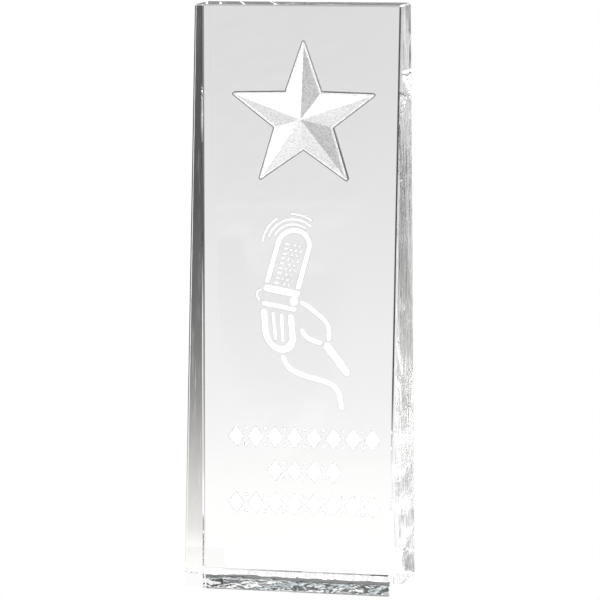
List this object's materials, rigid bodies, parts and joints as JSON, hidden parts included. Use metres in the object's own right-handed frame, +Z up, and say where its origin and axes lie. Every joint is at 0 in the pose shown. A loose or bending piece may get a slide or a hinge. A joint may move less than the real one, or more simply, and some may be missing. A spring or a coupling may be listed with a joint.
{
  "type": "crystal award",
  "caption": "Free-standing clear crystal wedge award with a faceted star set into its back and a frosted engraving seen through the sloping front.",
  "frame": {"origin": "centre of the bounding box on the surface the award stands on", "axes": "+Z up, the award's longest side; the sloping front faces -Y; +X is the viewer's right"},
  "size_m": [0.074, 0.039, 0.203],
  "materials": {
    "clear_crystal": "polished optical crystal with frosted engraving",
    "satin_silver": "satin silver, fine cast grain",
    "clear_resin": "clear cured resin"
  },
  "bodies": {
    "root": {"crystal_body": "clear_crystal", "star_casting": "satin_silver", "star_bond_resin": "clear_resin"}
  },
  "joints": []
}
